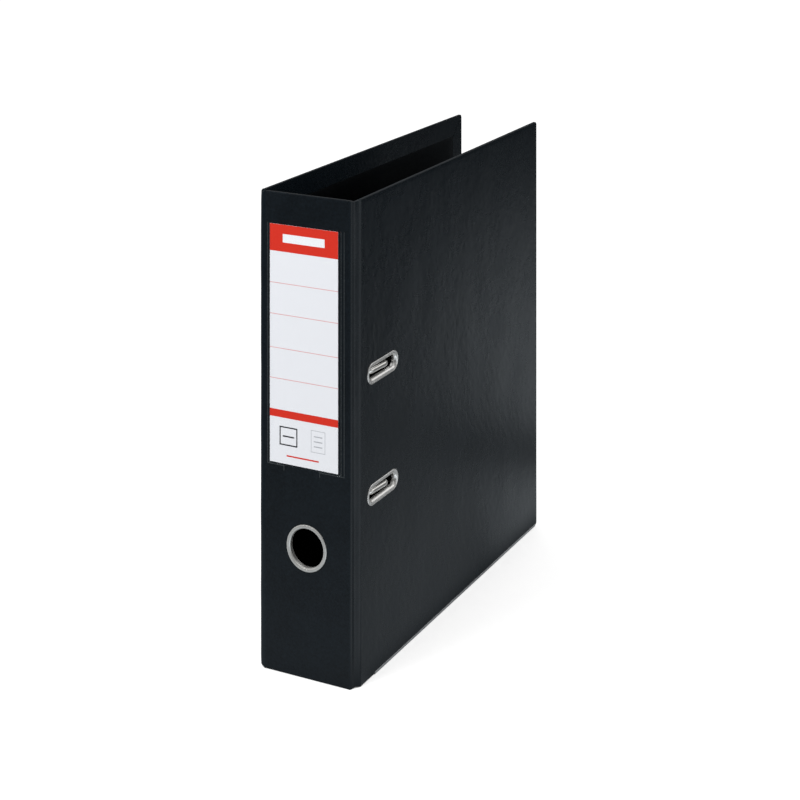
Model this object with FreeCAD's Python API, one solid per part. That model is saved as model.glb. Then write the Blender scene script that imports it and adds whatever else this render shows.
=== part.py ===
import FreeCAD, Part
import os
import math
from FreeCAD import Vector

# Lever arch file for A4 paper, closed and standing on its lower edge, in mm.
#   X = 0 at the outer face of the back cover, growing to the front cover
#   Y = 0 at the outer face of the spine, growing to the fore edge
#   Z = 0 at the standing face, growing upwards
# On export every piece is moved so that the origin is at the bottom centre
# of the whole file's bounding box.

os.makedirs("parts", exist_ok=True)

HEIGHT = 318.0
DEPTH = 285.0               # spine face to fore edge
WIDTH = 75.1                # over both covers at the spine
FOIL = 0.25                 # thickness of covering foil and of lining
BOARD = 2.5                 # cover or spine thickness, foil and lining included
TURN_IN = 15.0              # width of the foil turned in round the board edges
LIFT = 0.35                 # height of the covers above the floor, on their shoes
Z_MID = 160.0               # height of the mechanism's centre
HOLE_PITCH = 80.0           # spacing of two punched holes
PITCH_Z = (Z_MID + HOLE_PITCH / 2, Z_MID - HOLE_PITCH / 2)      # upper, lower
INNER_X = WIDTH - BOARD     # inner face of the front cover

ALONG_X = (1, 0, 0)
ALONG_Y = (0, 1, 0)


# ---------------------------------------------------------------------------
# Helpers
# ---------------------------------------------------------------------------
def box(x0, x1, y0, y1, z0, z1):
    return Part.makeBox(x1 - x0, y1 - y0, z1 - z0, Vector(x0, y0, z0))


def cylinder(radius, length, start, axis):
    return Part.makeCylinder(radius, length, Vector(*start), Vector(*axis))


def cylinder_z(radius, length, centre, z, sign=1):
    """Cylinder about the line at centre (x, y), from z up, or down if sign is -1."""
    return cylinder(radius, length, (centre[0], centre[1], z), (0, 0, sign))


def polygon_face(points):
    return Part.Face(Part.makePolygon(points + [points[0]]))


def prism(outline, z0, z1):
    """Outline of (x, y) points, extruded upwards."""
    face = polygon_face([Vector(x, y, z0) for x, y in outline])
    return face.extrude(Vector(0, 0, z1 - z0))


def fillet(shape, radius, test):
    return shape.makeFillet(radius, [edge for edge in shape.Edges if test(edge)])


def runs_along(edge, axis):
    direction = edge.Vertexes[-1].Point.sub(edge.Vertexes[0].Point)
    if direction.Length < 1e-6:
        return False
    direction.normalize()
    return abs(abs(getattr(direction, axis)) - 1.0) < 1e-6


def stadium(y_mid, z_mid, half_straight, radius, x0, x1):
    """Round-ended bar through X, its straight sides along Y."""
    y0, y1 = y_mid - half_straight, y_mid + half_straight
    low_start = Vector(x0, y0, z_mid - radius)
    low_end = Vector(x0, y1, z_mid - radius)
    high_end = Vector(x0, y1, z_mid + radius)
    high_start = Vector(x0, y0, z_mid + radius)
    edges = [Part.makeLine(low_start, low_end),
             Part.Arc(low_end, Vector(x0, y1 + radius, z_mid), high_end).toShape(),
             Part.makeLine(high_end, high_start),
             Part.Arc(high_start, Vector(x0, y0 - radius, z_mid), low_start).toShape()]
    return Part.Face(Part.Wire(edges)).extrude(Vector(x1 - x0, 0, 0))


def stadium_sweep(profile, y_mid, z_mid, half_straight):
    """Closed profile of (radius, x) points, swept round a stadium."""
    def section(y, side):
        return polygon_face([Vector(x, y, z_mid + side * radius) for radius, x in profile])

    parts = []
    for sign in (1, -1):
        y = y_mid + sign * half_straight
        parts.append(section(y, -1).revolve(
            Vector(0, y, z_mid), Vector(1, 0, 0), 180.0 * sign))
    for side in (-1, 1):
        parts.append(section(y_mid - half_straight, side).extrude(
            Vector(0, 2 * half_straight, 0)))
    swept = parts[0]
    for part in parts[1:]:
        swept = swept.fuse(part)
    return swept.removeSplitter()


def revolve_y(profile, x_mid, z_mid):
    """Closed profile of (radius, y) points, turned about a line along Y."""
    face = polygon_face([Vector(x_mid + radius, y, z_mid) for radius, y in profile])
    return face.revolve(Vector(x_mid, 0, z_mid), Vector(0, 1, 0), 360.0)


def rounded_path(stations):
    """Edges through stations (x, y, z, bend radius); the two ends have no bend."""
    points = [Vector(x, y, z) for x, y, z, _ in stations]
    edges = []
    current = points[0]
    for i in range(1, len(points) - 1):
        back = points[i - 1].sub(points[i])
        ahead = points[i + 1].sub(points[i])
        back.normalize()
        ahead.normalize()
        half_angle = back.getAngle(ahead) / 2.0
        radius = stations[i][3]
        setback = radius / math.tan(half_angle)
        bend_start = points[i].add(Vector(back).multiply(setback))
        bend_end = points[i].add(Vector(ahead).multiply(setback))
        bisector = back.add(ahead)
        bisector.normalize()
        bend_mid = points[i].add(bisector.multiply(radius / math.sin(half_angle) - radius))
        edges.append(Part.makeLine(current, bend_start))
        edges.append(Part.Arc(bend_start, bend_mid, bend_end).toShape())
        current = bend_end
    edges.append(Part.makeLine(current, points[-1]))
    return edges


def tube_along(edges, radius):
    first = edges[0]
    circle = Part.makeCircle(
        radius, first.Vertexes[0].Point, first.tangentAt(first.FirstParameter))
    return Part.Wire(edges).makePipeShell([Part.Wire([circle])], True, False)


def one(shape):
    """A boolean result with a single solid is stored as that solid."""
    if len(shape.Solids) == 1:
        return shape.Solids[0]
    return Part.makeCompound(shape.Solids)


pieces = {}

# ---------------------------------------------------------------------------
# Covers: board, foil wrapped round it with turn-ins, lining between them
# ---------------------------------------------------------------------------
BACK_HINGE_Y = 4.5          # hinge edge of the back cover
FRONT_HINGE_Y = 7.0         # hinge edge of the front cover
TOE_AXIS = (72.2, 3.2)      # fold line (x, y) of the front cover
TOE_IN = 1.16               # front cover leans inwards at the fore edge, degrees
COVER_CORNER_R = 2.5        # fore edge corners, over the foil
FOIL_RIM_R = 0.6            # rounding round the outer face
BOARD_RIM_R = 0.4

SLOT_Y = 35.6               # centre of the slots
SLOT_HALF = 13.85           # half length of the straight part
SLOT_BARREL_R = 4.75        # hole in the cover

PLATE_T = 1.0
PLATE_Y0, PLATE_Y1 = 14.5, 57.0
PLATE_HALF_LENGTH = 78.0
PLATE_Z0, PLATE_Z1 = Z_MID - PLATE_HALF_LENGTH, Z_MID + PLATE_HALF_LENGTH
RIVET_R = 1.5
RIVET_INSET_Y, RIVET_INSET_Z = 5.5, 7.0     # from the plate's edges
RIVETS = [(y, z)
          for z in (PLATE_Z0 + RIVET_INSET_Z, PLATE_Z1 - RIVET_INSET_Z)
          for y in (PLATE_Y0 + RIVET_INSET_Y, PLATE_Y1 - RIVET_INSET_Y)]


def toe(shape):
    turned = shape.copy()
    turned.rotate(Vector(TOE_AXIS[0], TOE_AXIS[1], 0), Vector(0, 0, 1), TOE_IN)
    return turned


def cover_slab(x_outer, x_inner, hinge_y, inset, rim_radius):
    """Cover block, inset on all sides but the hinge edge, with rounded outer rim."""
    inward = 1 if x_inner > x_outer else -1
    slab = box(min(x_outer, x_inner) + inset, max(x_outer, x_inner) - inset,
               hinge_y, DEPTH - inset, LIFT + inset, HEIGHT - inset)
    slab = fillet(slab, COVER_CORNER_R - inset,
                  lambda e: runs_along(e, "x") and e.Vertexes[0].Point.y > DEPTH - 1)
    x_rim = x_outer + inward * inset
    return fillet(slab, rim_radius,
                  lambda e: abs(e.BoundBox.XMin - x_rim) < 1e-6
                  and abs(e.BoundBox.XMax - x_rim) < 1e-6
                  and e.BoundBox.YMax > hinge_y + 1)


def cover(x_outer, x_inner, hinge_y, holes):
    """Returns board, foil and lining."""
    block = cover_slab(x_outer, x_inner, hinge_y, 0.0, FOIL_RIM_R)
    board = cover_slab(x_outer, x_inner, hinge_y, FOIL, BOARD_RIM_R)
    inward = 1 if x_inner > x_outer else -1
    x0, x1 = sorted((x_inner, x_inner - inward * FOIL))
    lining = box(x0, x1, hinge_y, DEPTH - TURN_IN, LIFT + TURN_IN, HEIGHT - TURN_IN)
    layers = [board, block.cut(board).cut(lining), lining]
    for hole in holes:
        layers = [layer.cut(hole) for layer in layers]
    return [one(layer) for layer in layers]


rivet_holes = [cylinder(RIVET_R, 10.0, (-3.0, y, z), ALONG_X) for y, z in RIVETS]
slot_holes = [stadium(SLOT_Y, z, SLOT_HALF, SLOT_BARREL_R, INNER_X - 3, WIDTH + 3)
              for z in PITCH_Z]
back_layers = cover(0.0, BOARD, BACK_HINGE_Y, rivet_holes)
front_layers = cover(WIDTH, INNER_X, FRONT_HINGE_Y, slot_holes)
for layer_name, back, front in zip(("board", "foil", "lining"), back_layers, front_layers):
    pieces["back_cover_" + layer_name] = back
    pieces["front_cover_" + layer_name] = toe(front)

# ---------------------------------------------------------------------------
# Spine, with its finger ring
# ---------------------------------------------------------------------------
SPINE_X0, SPINE_X1 = 5.0, 70.0
SPINE_FOIL_R, SPINE_BOARD_R = 0.5, 0.3      # upper and lower edges of the outer face

RING_X, RING_Z = 37.6, 85.9
RING_OUTER_R = 15.45
RING_BARREL_R = 13.35       # outside of the barrel, and the hole in the spine
RING_INNER_R = 12.75
RING_BACK_Y = BOARD + 0.6   # inner end of barrel and washer


def spine_slab(inset, radius):
    slab = box(SPINE_X0, SPINE_X1, inset, BOARD - inset, inset, HEIGHT - inset)
    return fillet(slab, radius,
                  lambda e: runs_along(e, "x") and e.Vertexes[0].Point.y < inset + 0.1)


def spine():
    """Returns board, foil and lining."""
    hole = cylinder(RING_BARREL_R, 12.0, (RING_X, -4.0, RING_Z), ALONG_Y)
    block = spine_slab(0, SPINE_FOIL_R)
    board = spine_slab(FOIL, SPINE_BOARD_R)
    lining = box(SPINE_X0, SPINE_X1, BOARD - FOIL, BOARD, TURN_IN, HEIGHT - TURN_IN)
    foil = block.cut(board).cut(lining)
    return [one(layer.cut(hole)) for layer in (board, foil, lining)]


def finger_ring():
    """Rolled rim outside the spine, with a barrel through it; profile (radius, y)."""
    return revolve_y([
        (RING_OUTER_R, 0.0), (RING_OUTER_R, -0.35), (RING_OUTER_R - 0.35, -0.75),
        (RING_OUTER_R - 0.9, -0.9), (RING_OUTER_R - 1.4, -0.75), (RING_BARREL_R, -0.35),
        (RING_INNER_R + 0.1, 0.2), (RING_INNER_R, 0.8), (RING_INNER_R, RING_BACK_Y),
        (RING_BARREL_R, RING_BACK_Y), (RING_BARREL_R, 0.0)], RING_X, RING_Z)


def finger_ring_washer():
    """Washer on the spine's inner face; profile (radius, y)."""
    return revolve_y([
        (RING_BARREL_R, BOARD), (RING_BARREL_R, RING_BACK_Y),
        (RING_OUTER_R - 0.8, RING_BACK_Y), (RING_OUTER_R - 0.3, BOARD + 0.3),
        (RING_OUTER_R - 0.3, BOARD)], RING_X, RING_Z)


pieces["spine_board"], pieces["spine_foil"], pieces["spine_lining"] = spine()
pieces["finger_ring"] = finger_ring()
pieces["finger_ring_washer"] = finger_ring_washer()

# ---------------------------------------------------------------------------
# Label in a clear pocket on the outer face of the spine
# ---------------------------------------------------------------------------
LABEL_X0, LABEL_X1 = 8.9, 61.8
LABEL_Z0, LABEL_Z1 = 138.9, 296.9
LABEL_Y0, LABEL_Y1 = -0.30, -0.05
POCKET_X0, POCKET_X1 = 6.9, 66.5
POCKET_Z0, POCKET_Z1 = 137.1, 297.5
POCKET_T = 0.55             # how far the pocket stands out
FILM = 0.20
CAVITY_X0, CAVITY_X1 = 8.4, 64.0
CAVITY_DROP = 0.3           # cavity floor below the label
NOTCH_X0, NOTCH_X1 = 19.8, 47.7


def label_pocket():
    """Film pocket, open at its top, with a gap through its lower seam."""
    cavity_y0, cavity_y1 = -POCKET_T + FILM, 0.1
    pocket = box(POCKET_X0, POCKET_X1, -POCKET_T, 0, POCKET_Z0, POCKET_Z1)
    pocket = pocket.cut(box(CAVITY_X0, CAVITY_X1, cavity_y0, cavity_y1,
                            LABEL_Z0 - CAVITY_DROP, POCKET_Z1 + 1))
    pocket = pocket.cut(box(NOTCH_X0, NOTCH_X1, cavity_y0, cavity_y1,
                            POCKET_Z0 - 1, LABEL_Z0))
    return one(pocket)


pieces["label_pocket"] = label_pocket()
pieces["spine_label"] = box(LABEL_X0, LABEL_X1, LABEL_Y0, LABEL_Y1, LABEL_Z0, LABEL_Z1)

# ---------------------------------------------------------------------------
# Foil hinges at both edges of the spine; outlines (x, y), full height
# ---------------------------------------------------------------------------
BACK_HINGE = [
    (0.35, BACK_HINGE_Y), (1.3, 3.1), (3.1, 1.2), (SPINE_X0, 0.3),
    (SPINE_X0, 1.5), (3.9, 2.1), (2.2, 3.8), (1.8, BACK_HINGE_Y)]
FRONT_HINGE = [
    (SPINE_X1, 0.3), (71.2, 1.5), (72.0, 3.2), (72.8, 5.0), (74.7, FRONT_HINGE_Y),
    (73.1, FRONT_HINGE_Y), (71.8, 5.6), (71.0, 3.6), (SPINE_X1, 1.7)]

pieces["back_hinge_strip"] = prism(BACK_HINGE, 0.0, HEIGHT)
pieces["front_hinge_strip"] = prism(FRONT_HINGE, 0.0, HEIGHT)

# ---------------------------------------------------------------------------
# Slot rims: outer eyelet with its barrel through the cover, inner washer
# ---------------------------------------------------------------------------
SLOT_OUTER_R = 6.95
SLOT_INNER_R = 3.75         # opening
RIM_UP = 0.5                # rim above the foil
RIM_INNER_X = INNER_X - 0.5     # inner end of barrel and washer

# (radius, x)
RIM_PROFILE = [
    (SLOT_OUTER_R, WIDTH), (SLOT_OUTER_R, WIDTH + 0.25),
    (SLOT_OUTER_R - 0.3, WIDTH + RIM_UP), (SLOT_OUTER_R - 1.3, WIDTH + RIM_UP),
    (SLOT_BARREL_R, WIDTH + 0.15), (SLOT_INNER_R + 0.1, WIDTH - 0.6),
    (SLOT_INNER_R, WIDTH - 1.2), (SLOT_INNER_R, RIM_INNER_X),
    (SLOT_BARREL_R, RIM_INNER_X), (SLOT_BARREL_R, WIDTH)]
WASHER_PROFILE = [
    (SLOT_BARREL_R, INNER_X), (SLOT_BARREL_R, RIM_INNER_X),
    (SLOT_OUTER_R - 0.5, RIM_INNER_X), (SLOT_OUTER_R - 0.2, INNER_X - 0.25),
    (SLOT_OUTER_R - 0.2, INNER_X)]

for level, z in zip(("upper", "lower"), PITCH_Z):
    for part_name, profile in (("rim", RIM_PROFILE), ("washer", WASHER_PROFILE)):
        swept = stadium_sweep(profile, SLOT_Y, z, SLOT_HALF)
        pieces[level + "_slot_" + part_name] = toe(one(swept))

# ---------------------------------------------------------------------------
# Metal shoes on the lower edges of both covers
# ---------------------------------------------------------------------------
SHOE_SHEET = 0.25           # thickness at the sides
SHOE_Y0, SHOE_Y1 = 25.0, DEPTH - 3.5
SHOE_HEIGHT = 1.5
SHOE_EDGE_R = 0.2


def edge_shoe(x0, x1):
    """Channel round a cover lying between x0 and x1."""
    outer = box(x0 - SHOE_SHEET, x1 + SHOE_SHEET, SHOE_Y0, SHOE_Y1, 0.0, SHOE_HEIGHT)
    outer = fillet(outer, SHOE_EDGE_R,
                   lambda e: runs_along(e, "y") and e.Vertexes[0].Point.z < 0.1)
    return one(outer.cut(box(x0, x1, 20.0, DEPTH, LIFT, 3.0)))


pieces["back_edge_shoe"] = edge_shoe(0.0, BOARD)
pieces["front_edge_shoe"] = toe(edge_shoe(INNER_X, WIDTH))
# Clear each shoe of the cover it holds
for side in ("back", "front"):
    for layer_name in ("foil", "board"):
        shoe = pieces[side + "_edge_shoe"].cut(pieces[side + "_cover_" + layer_name])
        pieces[side + "_edge_shoe"] = one(shoe)

# ---------------------------------------------------------------------------
# Lever arch mechanism on the inner face of the back cover
# ---------------------------------------------------------------------------
PLATE_X0 = BOARD            # the plate lies on the lining
PLATE_X1 = PLATE_X0 + PLATE_T
PLATE_CORNER_R = 6.0
FLANGE_T, FLANGE_HEIGHT = 1.0, 1.6
FLANGE_INSET_Z = 14.0

WIRE_R = 1.9
ARCH_AXIS = (6.2, 21.0)     # line (x, y) the arch wire turns on
BEARING_R = 3.4
BEARING_LENGTH = 7.0
BEARING_Z = (Z_MID - 31.0, Z_MID + 31.0)
BEARING_CLEARANCE = 0.07
CRANK = 12.0                # throw of the crank in the middle of the wire

POST_Y = 45.0
POST_R = 2.2
POST_TOP = 47.0
TENON_R = 1.6
TIP_R, TIP_HEIGHT = 0.5, 0.7

LEVER_AXIS = (12.0, 42.0)   # line (x, y) of the lever's pivot
LEVER_TIP = (62.0, 12.0)    # (x, y) the closed lever points at
LEVER_HALF = 6.6            # half width over the lever's cheeks
PIN_R = 2.0
EAR_R = 4.4
EAR_FOOT_HALF = 6.5
EAR_INNER = LEVER_HALF + 0.3        # faces of the ears, from Z_MID
EAR_OUTER = EAR_INNER + 1.3

WINDOW_Y = 28.0
WINDOW_OFFSET_Z = 14.0
WINDOW_HALF, WINDOW_R = 4.0, 3.0


def bearing_loop(z):
    x, y = ARCH_AXIS
    half = BEARING_LENGTH / 2
    loop = box(PLATE_X1, x, y - BEARING_R, y + BEARING_R, z - half, z + half)
    return loop.fuse(cylinder_z(BEARING_R, BEARING_LENGTH, ARCH_AXIS, z - half))


def lever_ear(sign):
    z0, z1 = sorted((Z_MID + sign * EAR_INNER, Z_MID + sign * EAR_OUTER))
    x, y = LEVER_AXIS
    foot_x = PLATE_X1 - 0.01    # slight overlap with the plate
    ear = prism([(foot_x, y - EAR_FOOT_HALF), (x, y - EAR_R),
                 (x, y + EAR_R), (foot_x, y + EAR_FOOT_HALF)], z0, z1)
    return ear.fuse(cylinder_z(EAR_R, z1 - z0, LEVER_AXIS, z0))


def base_plate():
    """Plate with stiffening flanges, bearing loops for the wire and lever ears."""
    plate = box(PLATE_X0, PLATE_X1, PLATE_Y0, PLATE_Y1, PLATE_Z0, PLATE_Z1)
    plate = fillet(plate, PLATE_CORNER_R, lambda e: runs_along(e, "x"))
    for y in (PLATE_Y0, PLATE_Y1 - FLANGE_T):
        plate = plate.fuse(box(PLATE_X1, PLATE_X1 + FLANGE_HEIGHT, y, y + FLANGE_T,
                               PLATE_Z0 + FLANGE_INSET_Z, PLATE_Z1 - FLANGE_INSET_Z))
    for z in BEARING_Z:
        plate = plate.fuse(bearing_loop(z))
    for sign in (-1, 1):
        plate = plate.fuse(lever_ear(sign))
    for z in BEARING_Z:
        plate = plate.cut(cylinder_z(WIRE_R + BEARING_CLEARANCE, 9.0, ARCH_AXIS, z - 4.5))
    plate = plate.cut(cylinder_z(PIN_R, 30.0, LEVER_AXIS, Z_MID - 15))
    for sign in (-1, 1):
        plate = plate.cut(stadium(WINDOW_Y, Z_MID + sign * WINDOW_OFFSET_Z,
                                  WINDOW_HALF, WINDOW_R, PLATE_X0 - 1, PLATE_X1 + 0.5))
    for y, z in RIVETS:
        plate = plate.cut(cylinder(RIVET_R, 6.0, (PLATE_X0 - 2, y, z), ALONG_X))
    for z in PITCH_Z:
        plate = plate.cut(cylinder(TENON_R, 6.0, (PLATE_X0 - 2, POST_Y, z), ALONG_X))
    return one(plate.removeSplitter())


def rivet(y, z):
    """Rivet through back cover and plate, with a head on either side."""
    outer_r, outer_height, outer_chamfer = 4.0, 0.7, 0.4
    inner_r, inner_height, inner_fillet = 3.0, 1.1, 0.6
    shank = cylinder(RIVET_R, PLATE_X1, (0, y, z), ALONG_X)
    outer = cylinder(outer_r, outer_height, (-outer_height, y, z), ALONG_X)
    outer = outer.makeChamfer(outer_chamfer, [
        e for e in outer.Edges if abs(e.BoundBox.XMax + outer_height) < 1e-3])
    inner = cylinder(inner_r, inner_height, (PLATE_X1, y, z), ALONG_X)
    inner = fillet(inner, inner_fillet,
                   lambda e: abs(e.BoundBox.XMin - PLATE_X1 - inner_height) < 1e-3)
    return shank.fuse([outer, inner]).removeSplitter().Solids[0]


def post_tip(x, z):
    return Part.makeCone(POST_R, TIP_R, TIP_HEIGHT, Vector(x, POST_Y, z), Vector(1, 0, 0))


def post(z):
    """Post with a collar, a tenon in the plate and a low conical tip."""
    collar_r, collar_height, collar_chamfer = 4.2, 1.6, 0.5
    shaft = cylinder(POST_R, POST_TOP - PLATE_X1, (PLATE_X1, POST_Y, z), ALONG_X)
    collar = cylinder(collar_r, collar_height, (PLATE_X1, POST_Y, z), ALONG_X)
    collar = collar.makeChamfer(collar_chamfer, [
        e for e in collar.Edges
        if abs(e.BoundBox.XMin - PLATE_X1 - collar_height) < 1e-3])
    tenon = cylinder(TENON_R, PLATE_T, (PLATE_X0, POST_Y, z), ALONG_X)
    return one(shaft.fuse([collar, tenon, post_tip(POST_TOP, z)]).removeSplitter())


def headed_pin(radius, half_length, head_radius, head_height, centre):
    pin = cylinder_z(radius, 2 * half_length, centre, Z_MID - half_length)
    for sign in (-1, 1):
        pin = pin.fuse(cylinder_z(head_radius, head_height, centre,
                                  Z_MID + sign * half_length, sign))
    return one(pin.removeSplitter())


pieces["base_plate"] = base_plate()
pieces["base_plate_rivets"] = Part.makeCompound([rivet(y, z) for y, z in RIVETS])
for level, z in zip(("upper", "lower"), PITCH_Z):
    pieces[level + "_post"] = post(z)
pieces["lever_pivot_pin"] = headed_pin(PIN_R, EAR_OUTER, 3.0, 0.8, LEVER_AXIS)

# ---------------------------------------------------------------------------
# Arch wire: both arches, the axle between them and the crank in its middle
# ---------------------------------------------------------------------------
ARCH_END = POST_TOP + 1.0
AXLE_X, AXLE_Y = ARCH_AXIS
CRANK_Y = AXLE_Y + CRANK
# Upper half of the wire's centre line: x, y, distance from Z_MID, bend radius.
# The lower half mirrors it.
WIRE_STATIONS = [
    (ARCH_END, POST_Y, HOLE_PITCH / 2, 0.0),
    (72.4, POST_Y, HOLE_PITCH / 2, 3.6),
    (70.9, AXLE_Y, HOLE_PITCH / 2, 6.5),
    (AXLE_X, AXLE_Y, HOLE_PITCH / 2, 4.5),
    (AXLE_X, AXLE_Y, 15.0, 3.0),
    (AXLE_X, CRANK_Y, 12.0, 3.0)]


def arch_wire():
    stations = [(x, y, Z_MID + rise, bend) for x, y, rise, bend in WIRE_STATIONS]
    stations += [(x, y, Z_MID - rise, bend) for x, y, rise, bend in reversed(WIRE_STATIONS)]
    wire = tube_along(rounded_path(stations), WIRE_R)
    # conical recesses in the ends facing the post tips
    for z in PITCH_Z:
        wire = wire.cut(post_tip(ARCH_END - 0.1, z))
    return one(wire)


pieces["arch_wire"] = arch_wire()

# ---------------------------------------------------------------------------
# Lever: channel with two cheeks, a web and a broad thumb plate, and a roller.
# Outlines are (u, v): u from the pivot towards the tip, v square to it, away
# from the base plate.
# ---------------------------------------------------------------------------
SHEET = 1.2                 # sheet thickness of the lever
CHEEK_PIVOT_R = 4.0
CHEEK_ROLLER_R = 3.1
THUMB_HALF = 9.5            # half width of the thumb plate
ROLLER_R = 3.5
ROLLER_GAP = 0.05           # between roller and crank
ROLLER_PIN_R = 1.5
TURNING_CLEARANCE = 0.06
ROLLER_HALF = LEVER_HALF - SHEET - 0.3      # half length of the roller
ROLLER_AXIS = (AXLE_X + WIRE_R + ROLLER_R + ROLLER_GAP, CRANK_Y)

LEVER_DX, LEVER_DY = LEVER_TIP[0] - LEVER_AXIS[0], LEVER_TIP[1] - LEVER_AXIS[1]
LEVER_LENGTH = math.hypot(LEVER_DX, LEVER_DY)
U_DIR = (LEVER_DX / LEVER_LENGTH, LEVER_DY / LEVER_LENGTH)
V_DIR = (-U_DIR[1], U_DIR[0])
ROLLER_DX, ROLLER_DY = ROLLER_AXIS[0] - LEVER_AXIS[0], ROLLER_AXIS[1] - LEVER_AXIS[1]
ROLLER_U = ROLLER_DX * U_DIR[0] + ROLLER_DY * U_DIR[1]
ROLLER_V = ROLLER_DX * V_DIR[0] + ROLLER_DY * V_DIR[1]

ARM_OUTLINE = [
    (0.0, 4.0), (0.0, -4.0), (ROLLER_U, ROLLER_V - 1.0), (ROLLER_U + 9.0, -4.2),
    (50.0, -2.2), (50.0, 3.2), (14.0, 4.0)]
WEB_OUTLINE = [
    (9.0, 4.0 - SHEET), (14.0, 4.0 - SHEET), (50.0, 3.2 - SHEET),
    (50.0, 3.2), (14.0, 4.0), (9.0, 4.0)]
THUMB_OUTLINE = [
    (44.0, 3.2 - SHEET - 0.2), (53.0, 1.6), (58.3, -1.8),
    (59.3, -0.8), (54.0, 3.0), (44.0, 3.6)]


def lever_prism(outline, z0, z1):
    return prism([(LEVER_AXIS[0] + u * U_DIR[0] + v * V_DIR[0],
                   LEVER_AXIS[1] + u * U_DIR[1] + v * V_DIR[1]) for u, v in outline], z0, z1)


def neck_outline():
    """Tapered neck between the pivot and the roller pin."""
    distance = math.hypot(ROLLER_U, ROLLER_V)
    side_u, side_v = -ROLLER_V / distance, ROLLER_U / distance
    pivot_u, pivot_v = CHEEK_PIVOT_R * side_u, CHEEK_PIVOT_R * side_v
    end_u, end_v = CHEEK_ROLLER_R * side_u, CHEEK_ROLLER_R * side_v
    return [(pivot_u, pivot_v), (-pivot_u, -pivot_v),
            (ROLLER_U - end_u, ROLLER_V - end_v), (ROLLER_U + end_u, ROLLER_V + end_v)]


def cheek(sign):
    z0, z1 = sorted((Z_MID + sign * LEVER_HALF, Z_MID + sign * (LEVER_HALF - SHEET)))
    plate = cylinder_z(CHEEK_PIVOT_R, z1 - z0, LEVER_AXIS, z0)
    plate = plate.fuse(cylinder_z(CHEEK_ROLLER_R, z1 - z0, ROLLER_AXIS, z0))
    plate = plate.fuse(lever_prism(neck_outline(), z0, z1))
    return plate.fuse(lever_prism(ARM_OUTLINE, z0, z1))


def lever():
    web = lever_prism(WEB_OUTLINE, Z_MID - LEVER_HALF, Z_MID + LEVER_HALF)
    thumb = lever_prism(THUMB_OUTLINE, Z_MID - THUMB_HALF, Z_MID + THUMB_HALF)
    body = cheek(-1).fuse([cheek(1), web, thumb])
    body = body.cut(cylinder_z(PIN_R + TURNING_CLEARANCE, 40.0, LEVER_AXIS, Z_MID - 20))
    body = body.cut(cylinder_z(ROLLER_PIN_R, 40.0, ROLLER_AXIS, Z_MID - 20))
    return one(body.removeSplitter())


def lever_roller():
    roller = cylinder_z(ROLLER_R, 2 * ROLLER_HALF, ROLLER_AXIS, Z_MID - ROLLER_HALF)
    return one(roller.cut(cylinder_z(ROLLER_PIN_R + TURNING_CLEARANCE, 30.0,
                                     ROLLER_AXIS, Z_MID - 15)))


pieces["lever"] = lever()
pieces["roller_pin"] = headed_pin(ROLLER_PIN_R, LEVER_HALF, 2.1, 0.25, ROLLER_AXIS)
pieces["lever_roller"] = lever_roller()

# ---------------------------------------------------------------------------
# Move the origin to the bottom centre of the bounding box, one file per piece
# ---------------------------------------------------------------------------
bounds = FreeCAD.BoundBox()
for shape in pieces.values():
    bounds.add(shape.optimalBoundingBox(False, False))
offset = Vector(-(bounds.XMin + bounds.XMax) / 2,
                -(bounds.YMin + bounds.YMax) / 2,
                -bounds.ZMin)
for name, shape in pieces.items():
    moved = shape.copy()
    moved.translate(offset)
    moved.exportStep("parts/" + name + ".step")
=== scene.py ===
import bpy, bmesh, math
import numpy as np
from mathutils import Vector, Matrix

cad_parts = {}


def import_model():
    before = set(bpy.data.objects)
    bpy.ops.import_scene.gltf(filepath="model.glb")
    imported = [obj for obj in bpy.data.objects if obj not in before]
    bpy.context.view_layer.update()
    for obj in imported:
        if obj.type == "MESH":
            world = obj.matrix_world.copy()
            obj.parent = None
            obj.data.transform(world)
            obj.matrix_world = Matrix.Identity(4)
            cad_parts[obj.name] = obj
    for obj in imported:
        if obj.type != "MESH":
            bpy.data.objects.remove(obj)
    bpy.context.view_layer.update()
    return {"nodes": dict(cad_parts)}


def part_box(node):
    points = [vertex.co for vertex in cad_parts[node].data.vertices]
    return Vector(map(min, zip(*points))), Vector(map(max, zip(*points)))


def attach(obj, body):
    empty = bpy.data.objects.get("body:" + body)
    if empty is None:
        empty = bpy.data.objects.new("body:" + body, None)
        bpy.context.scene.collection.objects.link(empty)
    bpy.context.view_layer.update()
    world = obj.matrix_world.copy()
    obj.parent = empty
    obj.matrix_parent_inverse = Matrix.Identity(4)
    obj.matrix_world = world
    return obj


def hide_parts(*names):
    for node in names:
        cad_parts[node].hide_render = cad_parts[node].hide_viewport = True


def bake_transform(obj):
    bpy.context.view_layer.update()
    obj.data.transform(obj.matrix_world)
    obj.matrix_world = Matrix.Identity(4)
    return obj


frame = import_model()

NODES = frame["nodes"]

# ---------------------------------------------------------------------------
# Layout frame of the design, in mm: X = 0 at the back cover's outer face,
# Y = 0 at the spine's outer face, Z = 0 on the floor. Its place in the row
# frame comes from the CAD spine.
# ---------------------------------------------------------------------------
_lo, _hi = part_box("spine_foil")
OX = _lo.x * 1000.0 - 5.0
OY = _lo.y * 1000.0
OFF = np.array([OX, OY, 0.0])
H, D, W, T = 318.0, 285.0, 75.1, 2.5
FH = (72.2, 3.2)
BH = (2.6, 2.6)
TOE = math.radians(1.16)
SLOT_Y, SLOT_HL, SLOT_Z = 35.6, 13.85, (200.0, 120.0)
RING = (37.6, 85.9)


def row(p):
    return (np.asarray(p, float) + OFF) / 1000.0


def toe(v):
    v = np.array(v, float)
    c, s = math.cos(TOE), math.sin(TOE)
    x, y = v[:, 0] - FH[0], v[:, 1] - FH[1]
    v[:, 0] = FH[0] + c * x - s * y
    v[:, 1] = FH[1] + s * x + c * y
    return v


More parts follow.
